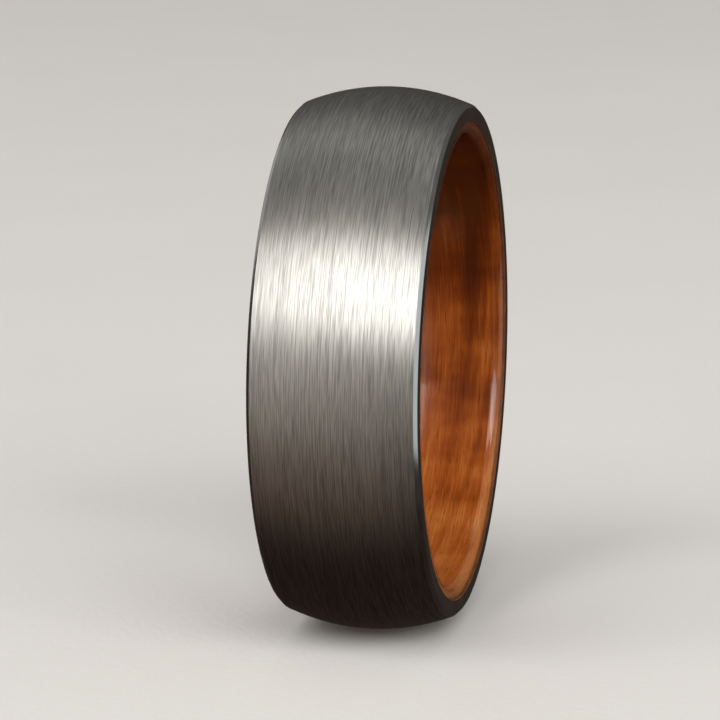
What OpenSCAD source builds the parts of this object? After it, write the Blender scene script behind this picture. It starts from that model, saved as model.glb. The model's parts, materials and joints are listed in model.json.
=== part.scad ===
// Domed wedding band with a wood liner.
// The band stands on edge: its axis is Y, Z is up, and the origin is the band's centre.
// Every piece is one closed profile turned about the axis.
// A profile is drawn with x as the radius and y as the place along the axis.

/* [Band] */
// Diameter of the finger hole between the rounded edges
hole_d = 19; // [15:0.1:23]
// Width of the band along its axis
band_w = 7; // [5:0.5:10]
// Wall from the finger hole to the crown of the dome
wall_t = 2; // [1.7:0.1:3]
// Height that the dome falls from its crown to the bevels
dome_drop = 0.65; // [0.3:0.05:0.85]
// Depth of the polished bevel between the dome and each side face
bevel = 0.15; // [0.05:0.05:0.3]

/* [Liner] */
// Thickness of the wood liner
wood_t = 0.45; // [0.43:0.01:0.7]
// Thickness of the adhesive between the metal and the wood
glue_t = 0.08; // [0.05:0.01:0.15]
// Thickness of the clear coat over the wood's bore and ends
coat_t = 0.1; // [0.08:0.01:0.15]
// Radius of the rounded inner edges
edge_r = 0.5; // [0.2:0.05:0.5]

/* [Hidden] */
facets = 240;
round_facets = 48;
side_face_min = 0.2;
half_w = band_w / 2;
hole_r = hole_d / 2;
crown_r = hole_r + wall_t;
liner_t = coat_t + wood_t + glue_t;
seat_r = hole_r + liner_t;
sealed_half_w = half_w - coat_t;
dome_fall = min(dome_drop, wall_t - liner_t - bevel - side_face_min);
face_r = crown_r - dome_fall - bevel;
dome_half_w = half_w - bevel;
dome_arc_r = (dome_half_w ^ 2 + dome_fall ^ 2) / (2 * dome_fall);
bevel_reach = dome_fall + 2 * bevel;

// Turns a profile about the band's axis.
module turned() {
    rotate([-90, 0, 0])
        rotate_extrude($fn = facets)
            children();
}

// Straight-sided profile of a sleeve.
module sleeve(inner_r, outer_r, half) {
    translate([inner_r, -half])
        square([outer_r - inner_r, 2 * half]);
}

// Profile of a sleeve whose two inner edges are rounded.
module rounded_sleeve(inner_r, outer_r, half, edge) {
    intersection() {
        sleeve(inner_r, outer_r, half);
        union() {
            sleeve(inner_r, outer_r, half - edge);
            sleeve(inner_r + edge, outer_r, half);
            for (side = [-1, 1])
                translate([inner_r + edge, side * (half - edge)])
                    circle(r = edge, $fn = round_facets);
        }
    }
}

// Profile of the metal before the dome is turned: a flat face and a 45 degree bevel at each side.
module bevelled_blank() {
    polygon([
        [seat_r, -half_w],
        [face_r, -half_w],
        [face_r + bevel_reach, bevel_reach - half_w],
        [face_r + bevel_reach, half_w - bevel_reach],
        [face_r, half_w],
        [seat_r, half_w]
    ]);
}

// Outer band of solid metal: a plain bore, two side faces, two bevels and one dome arc.
module metal_shell() {
    color([0.62, 0.62, 0.59])
        turned()
            intersection() {
                bevelled_blank();
                translate([crown_r - dome_arc_r, 0])
                    circle(r = dome_arc_r, $fn = facets);
            }
}

// Thin cylinder of cured adhesive that bonds the wood into the metal.
module adhesive_layer() {
    color([0.86, 0.80, 0.62])
        turned()
            sleeve(seat_r - glue_t, seat_r, sealed_half_w);
}

// Strip of wood bent into a sleeve, with its inner edges rounded for comfort.
module wood_liner() {
    color([0.55, 0.27, 0.10])
        turned()
            rounded_sleeve(hole_r + coat_t, seat_r - glue_t, sealed_half_w, edge_r - coat_t);
}

// Clear coat over the wood's bore and rounded edges, and over the ends of the wood and the adhesive.
module clear_coat() {
    color([0.90, 0.72, 0.50, 0.4])
        turned()
            difference() {
                rounded_sleeve(hole_r, seat_r, half_w, edge_r);
                rounded_sleeve(hole_r + coat_t, seat_r + coat_t, sealed_half_w, edge_r - coat_t);
            }
}

metal_shell();
adhesive_layer();
wood_liner();
clear_coat();
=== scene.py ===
"""Domed wedding band with a wood liner, standing on edge on a pale studio floor.

The band's axis is Y and Z is up. Each CAD node is replaced by a finely turned mesh of the same size.
An outline is a closed loop of (radius, place along the axis) points. All lengths are in metres.
"""
import json
import math

import bpy
import numpy as np
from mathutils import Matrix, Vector


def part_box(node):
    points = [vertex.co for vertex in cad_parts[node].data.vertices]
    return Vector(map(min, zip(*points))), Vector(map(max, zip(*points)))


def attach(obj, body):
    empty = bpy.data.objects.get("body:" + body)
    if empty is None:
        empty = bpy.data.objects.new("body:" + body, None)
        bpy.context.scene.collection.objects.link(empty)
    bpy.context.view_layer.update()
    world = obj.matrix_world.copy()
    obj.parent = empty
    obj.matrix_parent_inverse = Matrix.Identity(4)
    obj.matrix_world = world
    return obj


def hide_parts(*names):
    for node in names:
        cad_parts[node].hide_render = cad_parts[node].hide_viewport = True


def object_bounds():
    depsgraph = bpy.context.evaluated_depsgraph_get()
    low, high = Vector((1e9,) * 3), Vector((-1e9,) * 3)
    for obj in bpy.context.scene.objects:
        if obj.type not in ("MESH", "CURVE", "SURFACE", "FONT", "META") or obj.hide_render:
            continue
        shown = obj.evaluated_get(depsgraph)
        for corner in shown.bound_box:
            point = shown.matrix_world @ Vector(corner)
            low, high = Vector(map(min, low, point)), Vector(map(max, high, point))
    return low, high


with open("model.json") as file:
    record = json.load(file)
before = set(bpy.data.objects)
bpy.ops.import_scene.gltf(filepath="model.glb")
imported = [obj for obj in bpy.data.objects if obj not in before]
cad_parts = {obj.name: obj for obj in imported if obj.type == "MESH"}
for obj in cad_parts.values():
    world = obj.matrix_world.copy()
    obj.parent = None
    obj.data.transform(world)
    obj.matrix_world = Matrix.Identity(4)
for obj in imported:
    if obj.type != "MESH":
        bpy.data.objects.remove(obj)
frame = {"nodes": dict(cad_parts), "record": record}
cad_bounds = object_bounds()

MM = 0.001
BODY = "root"

# Sizes, read from the frame

crown_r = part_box("metal_shell")[1].x
half_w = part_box("metal_shell")[1].y
seat_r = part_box("adhesive_layer")[1].x
wood_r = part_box("wood_liner")[1].x
sealed_half_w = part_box("wood_liner")[1].y
finger_bore = next(m for m in frame["record"]["mounts"] if m["name"] == "finger_bore")
hole_r = finger_bore["dims"]["r_mm"] * MM
straight_half_w = finger_bore["dims"]["length_mm"] * MM / 2
coat_t = half_w - sealed_half_w
edge_r = half_w - straight_half_w


def shell_corners():
    """A side face's outer radius, and the radius and place of the line where its bevel meets the dome."""
    near = 0.001 * MM
    points = [v.co for v in frame["nodes"]["metal_shell"].data.vertices]
    rings = [(math.hypot(p.x, p.z), p.y) for p in points]
    face = max(r for r, y in rings if y > half_w - near)
    place, radius = max((y, r) for r, y in rings if r > face + near)
    return face, radius, place


face_r, rim_r, rim_y = shell_corners()

# Outlines

ARC_STEPS = 60
EDGE_STEPS = 12
FILLET_STEPS = 4
SOFT_CORNER = math.radians(20)  # a corner that turns by less is part of an arc
LONGEST_STEP = 0.3 * MM
POLISHED_EDGE = 0.02 * MM
HIDDEN_GAP = 0.01 * MM  # keeps pieces that lie on each other from sharing a face


def arc(centre, radius, start, end, steps):
    """Points on an arc between two angles, in degrees from the direction of larger radius."""
    turns = np.radians(np.linspace(start, end, steps + 1))
    return [(centre[0] + radius * math.cos(t), centre[1] + radius * math.sin(t)) for t in turns]


def fillet(here, before, after, radius):
    """Points on the small arc that replaces a corner. before and after are directions away from it."""
    inside = before.angle(after)
    reach = radius / math.tan(inside / 2)
    centre = here + (before + after).normalized() * (radius / math.sin(inside / 2))
    start = here + before * reach - centre
    end = here + after * reach - centre
    spokes = [start.lerp(end, step / FILLET_STEPS) for step in range(FILLET_STEPS + 1)]
    return [centre + spoke.normalized() * radius for spoke in spokes]


def filleted(corners, radius):
    """The closed outline through corners, with every sharp corner turned into a small arc."""
    outline = []
    for i, corner in enumerate(corners):
        here = Vector(corner)
        before = (Vector(corners[i - 1]) - here).normalized()
        after = (Vector(corners[(i + 1) % len(corners)]) - here).normalized()
        if math.pi - before.angle(after) < SOFT_CORNER:
            outline.append(here)
        else:
            outline += fillet(here, before, after, radius)
    return outline


def divided(outline):
    """The same closed outline with no step longer than LONGEST_STEP."""
    finer = []
    for i, start in enumerate(outline):
        end = outline[(i + 1) % len(outline)]
        parts = max(1, math.ceil((end - start).length / LONGEST_STEP))
        finer += [start.lerp(end, part / parts) for part in range(parts)]
    return finer


def shell_outline():
    """Side face, bevel, dome, bevel, side face and bore."""
    drop = crown_r - rim_r
    dome_r = (rim_y**2 + drop**2) / (2 * drop)
    rim_angle = math.degrees(math.asin(rim_y / dome_r))
    dome = arc((crown_r - dome_r, 0), dome_r, rim_angle, -rim_angle, ARC_STEPS)
    return [(seat_r, half_w), (face_r, half_w), *dome, (face_r, -half_w), (seat_r, -half_w)]


def plain_sleeve_outline(inner, outer, half):
    """A sleeve with square edges."""
    return [(inner, half), (outer, half), (outer, -half), (inner, -half)]


def rounded_sleeve_outline(inner, outer, half, edge):
    """A sleeve with its two inner edges rounded to the radius edge."""
    upper = arc((inner + edge, half - edge), edge, 180, 90, EDGE_STEPS)
    lower = arc((inner + edge, edge - half), edge, 270, 180, EDGE_STEPS)
    return [*upper, (outer, half), (outer, -half), *lower]


def coat_outline():
    """A rounded bore and a flange over each end of the wood, all coat_t thick."""
    outer_r = seat_r - HIDDEN_GAP
    bend_r = hole_r + edge_r
    bend_y = half_w - edge_r
    under_r = edge_r - coat_t
    return [
        *arc((bend_r, bend_y), edge_r, 180, 90, EDGE_STEPS),
        (outer_r, half_w),
        (outer_r, sealed_half_w),
        *arc((bend_r, bend_y), under_r, 90, 180, EDGE_STEPS),
        *arc((bend_r, -bend_y), under_r, 180, 270, EDGE_STEPS),
        (outer_r, -sealed_half_w),
        (outer_r, -half_w),
        *arc((bend_r, -bend_y), edge_r, 270, 180, EDGE_STEPS),
    ]


# Meshes

STEPS_AROUND = 480


def turned_mesh(name, outline, materials, zone):
    """A closed mesh of an outline turned about the band's axis."""
    count = len(outline)
    angles = np.linspace(0, 2 * np.pi, STEPS_AROUND, endpoint=False)
    points = [(r * math.cos(a), y, r * math.sin(a)) for a in angles for r, y in outline]
    faces = []
    zones = []
    for step in range(STEPS_AROUND):
        here = step * count
        there = (step + 1) % STEPS_AROUND * count
        for j in range(count):
            k = (j + 1) % count
            middle = (outline[j] + outline[k]) / 2
            faces.append((here + j, there + j, there + k, here + k))
            zones.append(zone(middle.x, middle.y))
    mesh = bpy.data.meshes.new(name)
    mesh.from_pydata(points, [], faces)
    for material in materials:
        mesh.materials.append(material)
    mesh.polygons.foreach_set("material_index", zones)
    mesh.shade_smooth()
    return mesh


def turned(name, corners, materials, zone=lambda radius, place: 0):
    """A piece turned about the band's axis. zone picks each strip's material by its middle."""
    outline = divided(filleted(corners, POLISHED_EDGE))
    piece = bpy.data.objects.new(name, turned_mesh(name, outline, materials, zone))
    bpy.context.scene.collection.objects.link(piece)
    normals = piece.modifiers.new("flat_faces_stay_flat", "WEIGHTED_NORMAL")
    normals.mode = "FACE_AREA"
    return piece


def place_piece(piece, node):
    """Puts a piece on the band's one body, in place of its CAD node."""
    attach(piece, BODY)
    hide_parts(node)


# Shader building blocks

NOISE_LOW, NOISE_HIGH = 0.3, 0.7  # nearly all of a noise lies between these
TINT_LOW, TINT_HIGH = 0.35, 0.65
PEAK_FOOT, PEAK_TOP = 0.60, 0.72


def add(tree, kind, inputs=None, **settings):
    """A new shader node. Each input is a plain value, or the output that feeds it."""
    made = tree.nodes.new("ShaderNode" + kind)
    for name, value in settings.items():
        setattr(made, name, value)
    for name, value in (inputs or {}).items():
        if isinstance(value, bpy.types.NodeSocket):
            tree.links.new(value, made.inputs[name])
        else:
            made.inputs[name].default_value = value
    return made


def new_material(name):
    """An empty material and its node tree."""
    material = bpy.data.materials.new(name)
    material.use_nodes = True
    material.node_tree.nodes.clear()
    return material, material.node_tree


def show(tree, shader):
    """Makes a shader the material's surface."""
    add(tree, "OutputMaterial", {"Surface": shader})


def maths(tree, operation, *values):
    """The result of a sum on one to three values."""
    return add(tree, "Math", dict(enumerate(values)), operation=operation).outputs[0]


def dot(tree, vector, other):
    """The dot product of a vector output and a fixed vector."""
    return add(tree, "VectorMath", {0: vector, 1: other}, operation="DOT_PRODUCT").outputs["Value"]


def weighted(tree, parts):
    """The sum of (value, weight) parts."""
    total = 0.0
    for value, weight in parts:
        total = maths(tree, "MULTIPLY_ADD", value, weight, total)
    return total


def noise(tree, vector, scale, detail):
    """Noise from 0 to 1."""
    inputs = {"Vector": vector, "Scale": scale, "Detail": detail, "Roughness": 0.5}
    return add(tree, "TexNoise", inputs, noise_dimensions="3D").outputs[0]


def spread(tree, value, low, high, to_low, to_high):
    """Value, held between low and high, mapped to the range from to_low to to_high."""
    inputs = {"Value": value, "From Min": low, "From Max": high, "To Min": to_low, "To Max": to_high}
    return add(tree, "MapRange", inputs).outputs[0]


def varied(tree, value, start, end):
    """A number that a noise takes from start to end."""
    return spread(tree, value, NOISE_LOW, NOISE_HIGH, start, end)


def peaks(tree, value, top):
    """A number that is 0 but for a noise's peaks, where it rises to top."""
    return spread(tree, value, PEAK_FOOT, PEAK_TOP, 0.0, top)


def ramp(tree, value, stops):
    """A colour for a value: stops are (position, (red, green, blue)) pairs."""
    made = add(tree, "ValToRGB", {"Fac": value})
    elements = made.color_ramp.elements
    while len(elements) < len(stops):
        elements.new(0.5)
    for element, (position, colour) in zip(elements, stops):
        element.position = position
        element.color = (*colour, 1)
    return made.outputs["Color"]


def tinted(tree, value, dark, light):
    """A colour that a noise takes from dark to light."""
    return ramp(tree, value, [(TINT_LOW, dark), (TINT_HIGH, light)])


def bump(tree, height, depth):
    """A normal for a height from 0 to 1 that stands for a relief of this depth."""
    return add(tree, "Bump", {"Height": height, "Strength": 1.0, "Distance": depth}).outputs["Normal"]


class BandPlace:
    """A surface point as (direction round the band, place along the axis), for patterns with no seam."""

    def __init__(self, tree, on_dome=False):
        self.tree = tree
        self.on_dome = on_dome
        self.point = add(tree, "TexCoord").outputs["Object"]
        split = add(tree, "SeparateXYZ", {"Vector": self.point})
        self.along = split.outputs["Y"]
        spoke = add(tree, "CombineXYZ", {"X": split.outputs["X"], "Z": split.outputs["Z"]}).outputs[0]
        self.radius = add(tree, "VectorMath", {0: spoke}, operation="LENGTH").outputs["Value"]
        self.facing = add(tree, "VectorMath", {0: spoke}, operation="NORMALIZE").outputs[0]
        self.height = add(tree, "SeparateXYZ", {"Vector": self.facing}).outputs["Z"]

    def stretched(self, length, width, lean=(0, 0), shift=0.0):
        """A texture vector whose cells are length long round the band and width wide across it.

        lean slopes the cells a little, differently from place to place, so that they cross.
        shift moves along the noise, so that two patterns of the same size differ.
        Off the dome, cells also change with the radius, so that side faces get rings.
        """
        run = self.along if self.on_dome else maths(self.tree, "ADD", self.along, self.radius)
        slope = dot(self.tree, self.facing, (lean[0], 0, lean[1]))
        across = maths(self.tree, "ADD", run, slope)
        cells = maths(self.tree, "MULTIPLY_ADD", across, 1 / width, shift)
        turn = crown_r / length
        around = add(
            self.tree, "VectorMath", {0: self.facing, 1: (turn, 0, turn)}, operation="MULTIPLY"
        ).outputs[0]
        upright = add(self.tree, "CombineXYZ", {"Y": cells}).outputs[0]
        return add(self.tree, "VectorMath", {0: around, 1: upright}, operation="ADD").outputs[0]

    def streaks(self, length, width, lean=(0, 0), shift=0.0, detail=2.0):
        """Noise from 0 to 1 drawn out round the band."""
        return noise(self.tree, self.stretched(length, width, lean, shift), 1.0, detail)

    def scratches(self, length, width, lean, shift=0.0):
        """Separate thin dashes of 1 on 0, at the peaks of a drawn-out noise."""
        return peaks(self.tree, self.streaks(length, width, lean, shift, detail=0.0), 1.0)

    def blotches(self, size, detail=2.0):
        """Noise from 0 to 1 in cells of this size."""
        return noise(self.tree, self.point, 1 / size, detail)


# Satin metal of the dome

GRAIN_LOW, GRAIN_HIGH = 0.36, 0.64
GRAIN_DARK = (0.318, 0.315, 0.300)
GRAIN_LIGHT = (0.535, 0.530, 0.505)
GRAIN_DEPTH = 0.001 * MM
DARK_GRAIN_ROUGHNESS = 0.54
LIGHT_GRAIN_ROUGHNESS = 0.48
WORN_W = 0.12 * MM
WORN_GLOSS = 0.12  # how much less rough a worn edge is
STRETCH = 0.9  # how much the brushing draws out the highlight
ACROSS_TANGENT = 0.25  # of a turn


def brushed_grain(place):
    """Bright and dark dashes on short and long streaks, all round the band and hardly crossing."""
    bright = place.scratches(2.0 * MM, 0.036 * MM, lean=(0.012 * MM, 0))
    dark = place.scratches(2.0 * MM, 0.036 * MM, lean=(0, 0.012 * MM), shift=40)
    short = place.streaks(0.9 * MM, 0.028 * MM, lean=(0.01 * MM, -0.01 * MM), shift=65, detail=0.0)
    long = place.streaks(6.0 * MM, 0.042 * MM, lean=(-0.01 * MM, 0.01 * MM), shift=90, detail=1.0)
    return weighted(place.tree, [(bright, 0.12), (dark, -0.12), (short, 0.48), (long, 0.52)])


def brushed_metal():
    """Satin dome, brushed round the band, with patches along its two edges worn a little smoother."""
    material, tree = new_material("brushed_dome")
    place = BandPlace(tree, on_dome=True)
    grain = brushed_grain(place)
    edge = spread(tree, maths(tree, "ABSOLUTE", place.along), rim_y - WORN_W, rim_y, 0.0, 1.0)
    worn = maths(tree, "MULTIPLY", edge, place.blotches(0.8 * MM))
    satin = spread(tree, grain, GRAIN_LOW, GRAIN_HIGH, DARK_GRAIN_ROUGHNESS, LIGHT_GRAIN_ROUGHNESS)
    metal = add(
        tree,
        "BsdfPrincipled",
        {
            "Base Color": ramp(tree, grain, [(GRAIN_LOW, GRAIN_DARK), (GRAIN_HIGH, GRAIN_LIGHT)]),
            "Metallic": 1.0,
            "Roughness": maths(tree, "SUBTRACT", satin, maths(tree, "MULTIPLY", worn, WORN_GLOSS)),
            "Anisotropic": STRETCH,
            "Anisotropic Rotation": ACROSS_TANGENT,
            "Tangent": add(tree, "Tangent", direction_type="RADIAL", axis="Y").outputs[0],
            "Normal": bump(tree, grain, GRAIN_DEPTH),
        },
    )
    show(tree, metal.outputs[0])
    return material


# Polished metal of the bevels and side faces, and the bore under the adhesive

BEVEL_LIGHT = (0.54, 0.55, 0.55)
BEVEL_DARK = (0.45, 0.46, 0.46)
BEVEL_ROUGHNESS = 0.18
# The side faces are painted darker than the bevels though they are the same polished metal: painted shade
# for the dark they mirror.
SHADED_SIDE_LIGHT = (0.38, 0.375, 0.365)
SHADED_SIDE_DARK = (0.28, 0.275, 0.265)
SIDE_ROUGHNESS = 0.20
SMOOTHEST, ROUGHEST = 0.7, 1.3  # of the polish's roughness
POLISH_MARK_DEPTH = 0.0004 * MM
SEAT_DARK = (0.13, 0.036, 0.008)
SEAT_LIGHT = (0.30, 0.098, 0.024)
SEAT_METALLIC = 0.15
SEAT_MARK_DEPTH = 0.003 * MM


def polished_metal(name, light, dark, roughness):
    """Polished metal with faint turning marks and a soft cloud of handling wear."""
    material, tree = new_material(name)
    place = BandPlace(tree)
    marks = place.streaks(12 * MM, 0.03 * MM)
    cloud = place.blotches(1.5 * MM, detail=4.0)
    metal = add(
        tree,
        "BsdfPrincipled",
        {
            "Base Color": tinted(tree, weighted(tree, [(marks, 0.5), (cloud, 0.5)]), dark, light),
            "Metallic": 1.0,
            "Roughness": varied(tree, cloud, roughness * SMOOTHEST, roughness * ROUGHEST),
            "Normal": bump(tree, marks, POLISH_MARK_DEPTH),
        },
    )
    show(tree, metal.outputs[0])
    return material


def glued_seat():
    """The metal's bore under the adhesive: turning marks filled with brown glue."""
    material, tree = new_material("glued_seat")
    place = BandPlace(tree)
    marks = place.streaks(9 * MM, 0.05 * MM)
    cloud = place.blotches(0.7 * MM, detail=3.0)
    stain = weighted(tree, [(marks, 0.4), (cloud, 0.6)])
    seat = add(
        tree,
        "BsdfPrincipled",
        {
            "Base Color": tinted(tree, stain, SEAT_DARK, SEAT_LIGHT),
            "Metallic": SEAT_METALLIC,
            "Roughness": varied(tree, cloud, 0.45, 0.65),
            "Normal": bump(tree, marks, SEAT_MARK_DEPTH),
        },
    )
    show(tree, seat.outputs[0])
    return material


# Wood

WOOD_STOPS = [
    (0.34, (0.07, 0.013, 0.002)),
    (0.46, (0.175, 0.036, 0.004)),
    (0.56, (0.30, 0.078, 0.011)),
    (0.68, (0.47, 0.180, 0.050)),
]
PORE_COLOUR = (0.07, 0.02, 0.006, 1)
PORE_STRENGTH = 0.65
# The wood is painted darker towards the top of the bore and paler towards the bottom: painted shade and
# light, as the light falls from above.
PAINTED_SHADE_FACING, PAINTED_LIGHT_FACING = 0.8, -0.7  # how far up the wood faces where its painted shade is darkest and where it is painted palest
PAINTED_SHADE_TONE, PAINTED_LIGHT_TONE = -0.18, 0.07
# Painted light: the rounded inner edges are painted paler, as where they catch the light.
PAINTED_EDGE_LIGHT_TONE = 0.14
WOOD_GLOSS = 0.1
WOOD_RELIEF = 0.004 * MM


def wood_tone(place, fibres):
    """How light the wood is: figure, growth lines and fibres, with painted shade darkening the top, painted
    light paling the bottom, and a painted highlight on the rounded edges.
    """
    tree = place.tree
    growth = place.streaks(16 * MM, 0.7 * MM, lean=(0.9 * MM, -0.7 * MM), shift=15, detail=3.0)
    figure = place.streaks(2.6 * MM, 5.0 * MM, lean=(2 * MM, 1 * MM), shift=7, detail=2.0)
    # Painted shade and light: darker towards the top of the bore, paler towards the bottom.
    painted_shade_by_height = spread(
        tree, place.height, PAINTED_LIGHT_FACING, PAINTED_SHADE_FACING, PAINTED_LIGHT_TONE, PAINTED_SHADE_TONE
    )
    # Painted highlight: paler towards the rounded edges.
    off_middle = maths(tree, "ABSOLUTE", place.along)
    painted_edge_light = spread(tree, off_middle, straight_half_w, sealed_half_w, 0.0, PAINTED_EDGE_LIGHT_TONE)
    return weighted(
        tree, [(figure, 0.42), (growth, 0.34), (fibres, 0.24), (painted_shade_by_height, 1.0), (painted_edge_light, 1.0)]
    )


def figured_wood():
    """Warm wood: fibres and pores round the band, growth lines, and a soft figure across the grain."""
    material, tree = new_material("figured_wood")
    place = BandPlace(tree)
    fibres = place.streaks(2.5 * MM, 0.05 * MM, lean=(0.2 * MM, 0.3 * MM), detail=4.0)
    pores = place.streaks(0.7 * MM, 0.045 * MM, lean=(0.2 * MM, 0.3 * MM), shift=60, detail=1.0)
    colour = ramp(tree, wood_tone(place, fibres), WOOD_STOPS)
    pore = peaks(tree, pores, PORE_STRENGTH)
    dark = add(tree, "Mix", {"Factor": pore, "A": colour, "B": PORE_COLOUR}, data_type="RGBA")
    wood = add(
        tree,
        "BsdfPrincipled",
        {
            "Base Color": dark.outputs["Result"],
            "Roughness": varied(tree, fibres, 0.42, 0.6),
            "Specular IOR Level": WOOD_GLOSS,
            "Normal": bump(tree, weighted(tree, [(fibres, 0.7), (pore, -0.5)]), WOOD_RELIEF),
        },
    )
    show(tree, wood.outputs[0])
    return material


# Clear coat and adhesive

COAT_REFLECTION = (1, 0.98, 0.95, 1)
COAT_TINT = (0.98, 0.95, 0.90, 1)
COAT_IOR = 1.5
COAT_RELIEF = 0.0012 * MM
ADHESIVE_DARK = (0.13, 0.062, 0.022)
ADHESIVE_LIGHT = (0.20, 0.105, 0.042)
BUBBLE_SIZE = 0.12 * MM
BUBBLE_FOOT, BUBBLE_TOP = 0.62, 0.7
BUBBLE_DEPTH = 0.006 * MM


def clear_finish():
    """Hard clear coat: see-through, with faint haze and a sharp reflection that grows at a slant."""
    material, tree = new_material("clear_finish")
    place = BandPlace(tree)
    ripple = place.blotches(1.8 * MM)
    haze = place.streaks(2.0 * MM, 0.06 * MM)
    normal = bump(tree, weighted(tree, [(ripple, 0.9), (haze, 0.1)]), COAT_RELIEF)
    gloss = {"Color": COAT_REFLECTION, "Roughness": varied(tree, haze, 0.05, 0.12), "Normal": normal}
    mirror = add(tree, "BsdfGlossy", gloss)
    clear = add(tree, "BsdfTransparent", {"Color": COAT_TINT})
    slant = add(tree, "Fresnel", {"IOR": COAT_IOR, "Normal": normal}).outputs[0]
    front = maths(tree, "SUBTRACT", 1.0, add(tree, "NewGeometry").outputs["Backfacing"])
    share = maths(tree, "MULTIPLY", slant, front)
    show(tree, add(tree, "MixShader", {0: share, 1: clear.outputs[0], 2: mirror.outputs[0]}).outputs[0])
    return material


def cured_adhesive():
    """Amber adhesive with cloudy patches and tiny bubbles."""
    material, tree = new_material("cured_adhesive")
    place = BandPlace(tree)
    cloud = place.blotches(0.9 * MM, detail=3.0)
    bubbles = spread(tree, place.blotches(BUBBLE_SIZE, detail=0.0), BUBBLE_FOOT, BUBBLE_TOP, 0.0, 1.0)
    glue = add(
        tree,
        "BsdfPrincipled",
        {
            "Base Color": tinted(tree, cloud, ADHESIVE_DARK, ADHESIVE_LIGHT),
            "Roughness": varied(tree, cloud, 0.2, 0.4),
            "Normal": bump(tree, bubbles, BUBBLE_DEPTH),
        },
    )
    show(tree, glue.outputs[0])
    return material


# The band

DOME, BEVEL, SIDE_FACE, BORE = range(4)


def shell_zone(radius, place):
    """Which of the metal's materials a strip with this middle has."""
    if radius < seat_r + POLISHED_EDGE / 2:
        return BORE
    if abs(place) > half_w - POLISHED_EDGE / 4:
        return SIDE_FACE
    return BEVEL if abs(place) > rim_y else DOME


def make_band():
    """The four pieces. The shell's materials are in the order of its zones."""
    shell_materials = [
        brushed_metal(),
        polished_metal("polished_bevel", BEVEL_LIGHT, BEVEL_DARK, BEVEL_ROUGHNESS),
        # The side faces carry painted shade: the bevels' metal, painted darker.
        polished_metal("polished_side_face_painted_shade", SHADED_SIDE_LIGHT, SHADED_SIDE_DARK, SIDE_ROUGHNESS),
        glued_seat(),
    ]
    shell = turned("brushed_shell", shell_outline(), shell_materials, shell_zone)
    place_piece(shell, "metal_shell")

    film = plain_sleeve_outline(wood_r, seat_r - HIDDEN_GAP, sealed_half_w - HIDDEN_GAP)
    place_piece(turned("adhesive_film", film, [cured_adhesive()]), "adhesive_layer")

    inner = hole_r + coat_t + HIDDEN_GAP
    wood = rounded_sleeve_outline(inner, wood_r, sealed_half_w - HIDDEN_GAP, edge_r - coat_t)
    place_piece(turned("wood_sleeve", wood, [figured_wood()]), "wood_liner")

    coat = turned("clear_coating", coat_outline(), [clear_finish()])
    place_piece(coat, "clear_coat")


# The camera. Angles are in degrees.

CAMERA_AZIMUTH = 101.7
CAMERA_ELEVATION = 10.9
CAMERA_DISTANCE = 14.92 * crown_r
CAMERA_ASIDE = -0.089 * crown_r
CAMERA_ABOVE = -0.009 * crown_r
LENS_MM = 202.0
SENSOR_MM = 36.0
NEAREST_SEEN = 0.005
FURTHEST_SEEN = 10.0


def direction(azimuth, elevation):
    """A unit vector from the band towards a place seen at these angles."""
    a = math.radians(azimuth)
    e = math.radians(elevation)
    return Vector((math.sin(a) * math.cos(e), -math.cos(a) * math.cos(e), math.sin(e)))


def make_camera():
    """A long lens, looking a little down on the dome and past it into the bore."""
    camera = bpy.data.objects.new("camera", bpy.data.cameras.new("camera"))
    bpy.context.scene.collection.objects.link(camera)
    back = direction(CAMERA_AZIMUTH, CAMERA_ELEVATION)
    turn = back.to_track_quat("Z", "Y")
    aside = turn @ Vector((1, 0, 0))
    above = turn @ Vector((0, 1, 0))
    camera.location = back * CAMERA_DISTANCE + aside * CAMERA_ASIDE + above * CAMERA_ABOVE
    camera.rotation_mode = "QUATERNION"
    camera.rotation_quaternion = turn
    camera.data.lens = LENS_MM
    camera.data.sensor_width = SENSOR_MM
    camera.data.clip_start = NEAREST_SEEN
    camera.data.clip_end = FURTHEST_SEEN
    bpy.context.scene.camera = camera


# The floor

FLOOR_R = 0.5
COVE_R = 0.4
COVE_STEPS = 24
FLOOR_STEPS_AROUND = 128
FLOOR_DARK = (0.70, 0.69, 0.675)
FLOOR_LIGHT = (0.715, 0.705, 0.69)
MOTTLE_SCALE = 60.0
FLOOR_GRAIN_SCALE = 2500.0
FLOOR_GRAIN_DEPTH = 0.02 * MM


def studio_floor_material():
    """Pale matt floor with a barely visible mottle."""
    material, tree = new_material("pale_floor")
    point = add(tree, "TexCoord").outputs["Object"]
    mottle = noise(tree, point, MOTTLE_SCALE, 4.0)
    grain = noise(tree, point, FLOOR_GRAIN_SCALE, 2.0)
    floor = add(
        tree,
        "BsdfPrincipled",
        {
            "Base Color": ramp(tree, mottle, [(NOISE_LOW, FLOOR_DARK), (NOISE_HIGH, FLOOR_LIGHT)]),
            "Roughness": varied(tree, grain, 0.6, 0.75),
            "Normal": bump(tree, grain, FLOOR_GRAIN_DEPTH),
        },
    )
    show(tree, floor.outputs[0])
    return material


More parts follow.
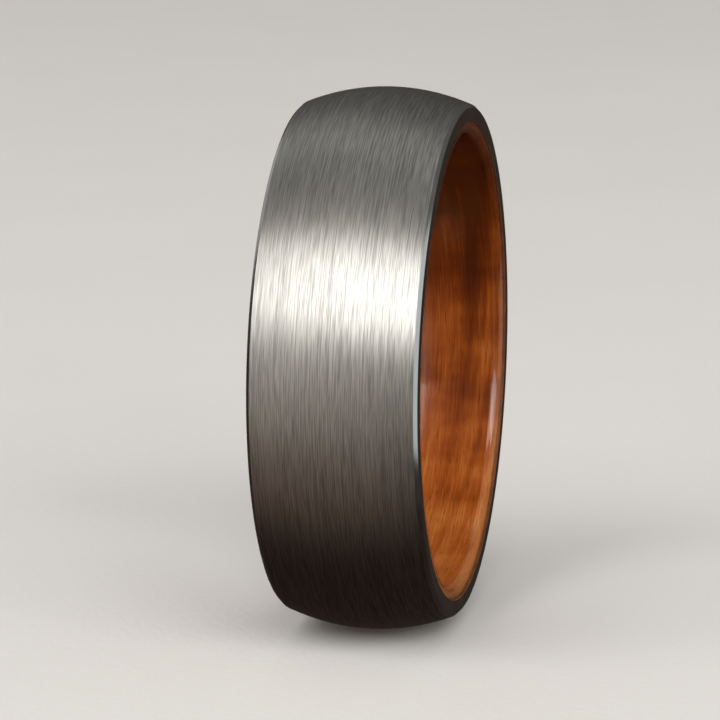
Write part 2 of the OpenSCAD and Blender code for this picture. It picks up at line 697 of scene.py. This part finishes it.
def floor_mesh():
    """A flat disc whose edge curves up into a wall all round."""
    bends = np.radians(np.linspace(0, 90, COVE_STEPS + 1))
    cove = [(FLOOR_R + COVE_R * math.sin(t), COVE_R * (1 - math.cos(t))) for t in bends]
    profile = [(FLOOR_R - COVE_R / COVE_STEPS, 0.0), *cove]
    angles = np.linspace(0, 2 * np.pi, FLOOR_STEPS_AROUND, endpoint=False)
    points = [(r * math.cos(a), r * math.sin(a), z) for r, z in profile for a in angles]
    faces = [tuple(range(FLOOR_STEPS_AROUND))]
    for ring in range(len(profile) - 1):
        inner = ring * FLOOR_STEPS_AROUND
        outer = inner + FLOOR_STEPS_AROUND
        for j in range(FLOOR_STEPS_AROUND):
            k = (j + 1) % FLOOR_STEPS_AROUND
            faces.append((inner + j, outer + j, outer + k, inner + k))
    mesh = bpy.data.meshes.new("studio_floor")
    mesh.from_pydata(points, [], faces)
    mesh.shade_smooth()
    return mesh


def make_floor():
    """A floor with no horizon, which the band stands on.

    It shows to the camera only, so the band's metal and wood look as they do over a dark table.
    """
    mesh = floor_mesh()
    mesh.materials.append(studio_floor_material())
    floor = bpy.data.objects.new("studio_floor", mesh)
    floor.location.z = cad_bounds[0].z
    floor.visible_glossy = False
    floor.visible_diffuse = False
    floor.visible_shadow = False
    bpy.context.scene.collection.objects.link(floor)


# The surroundings: a sky that is palest overhead, and an upright oval glow beside the camera

SKY_STOPS = [  # from straight down, 0, to straight up, 1
    (0.0, (0.026, 0.016, 0.012)),
    (0.5, (0.050, 0.038, 0.031)),
    (0.78, (0.17, 0.166, 0.158)),
    (0.95, (0.29, 0.29, 0.276)),
    (1.0, (0.43, 0.43, 0.410)),
]
GLOW_STOPS = [  # from its edge to its centre, 1
    (0.10, (0.0, 0.0, 0.0)),
    (0.40, (0.205, 0.140, 0.110)),
    (0.76, (0.37, 0.300, 0.262)),
    (0.95, (0.90, 0.86, 0.80)),
    (1.0, (1.40, 1.38, 1.31)),
]
GLOW_AZIMUTH = CAMERA_AZIMUTH - 32
GLOW_ELEVATION = 8
GLOW_SQUEEZE = 0.8  # makes the glow narrower than it is high


def oval_glow(tree, toward):
    """The glow's colour in each direction."""
    facing = dot(tree, toward, direction(GLOW_AZIMUTH, GLOW_ELEVATION))
    aside = dot(tree, toward, direction(GLOW_AZIMUTH + 90, 0))
    upright_oval = maths(tree, "MULTIPLY_ADD", maths(tree, "MULTIPLY", aside, aside), -GLOW_SQUEEZE, facing)
    return ramp(tree, upright_oval, GLOW_STOPS)


def make_world():
    """The sky and the glow, added together."""
    world = bpy.data.worlds.new("studio")
    world.use_nodes = True
    tree = world.node_tree
    tree.nodes.clear()
    toward = add(tree, "TexCoord").outputs["Generated"]
    height = add(tree, "SeparateXYZ", {"Vector": toward}).outputs["Z"]
    sky = ramp(tree, spread(tree, height, -1.0, 1.0, 0.0, 1.0), SKY_STOPS)
    both = add(tree, "VectorMath", {0: sky, 1: oval_glow(tree, toward)}, operation="ADD").outputs[0]
    background = add(tree, "Background", {"Color": both, "Strength": 1.0})
    add(tree, "OutputWorld", {"Surface": background.outputs[0]})
    bpy.context.scene.world = world


# The lights

NEUTRAL = (1.0, 0.99, 0.97)
COOL = (0.97, 1.0, 1.0)
WARM = (1.0, 0.98, 0.95)


def soft_light(name, azimuth, elevation, distance, size, glow, colour):
    """A rectangular softbox that faces the band. glow is the brightness of its face."""
    width, height = size
    lamp = bpy.data.lights.new(name, "AREA")
    lamp.shape = "RECTANGLE"
    lamp.size = width
    lamp.size_y = height
    lamp.energy = 4 * glow * width * height
    lamp.color = colour
    light = bpy.data.objects.new(name, lamp)
    toward = direction(azimuth, elevation)
    light.location = toward * distance
    light.rotation_mode = "QUATERNION"
    light.rotation_quaternion = toward.to_track_quat("Z", "Y")
    light.visible_camera = False
    bpy.context.scene.collection.objects.link(light)


def make_lights():
    """Softboxes, placed from the camera's azimuth.

    The key and the liner card make the dome's highlight, and the liner card also shows in the clear coat.
    The right card shows in the right bevel. The others keep the sides and back from going black.
    """
    front = CAMERA_AZIMUTH
    soft_light("key", front - 20, 41.5, distance=0.9, size=(1.6, 0.585), glow=2.3, colour=NEUTRAL)
    soft_light("right_card", front + 76, 3, distance=1.0, size=(0.96, 1.0), glow=0.6, colour=COOL)
    soft_light("left_card", front - 84, 3, distance=1.0, size=(0.6, 0.8), glow=0.4, colour=NEUTRAL)
    soft_light("back_card", front + 157, 66, distance=1.0, size=(1.4, 0.4), glow=0.25, colour=NEUTRAL)
    soft_light("rear_card", front + 218, 15, distance=1.0, size=(0.6, 0.6), glow=0.3, colour=NEUTRAL)
    soft_light("liner_card", front + 33, 29, distance=1.0, size=(0.7, 0.52), glow=3.4, colour=WARM)


def make_studio():
    """Camera, floor, surroundings and lights."""
    bpy.context.scene.view_settings.view_transform = "Standard"
    make_camera()
    make_floor()
    make_world()
    make_lights()


make_band()
make_studio()
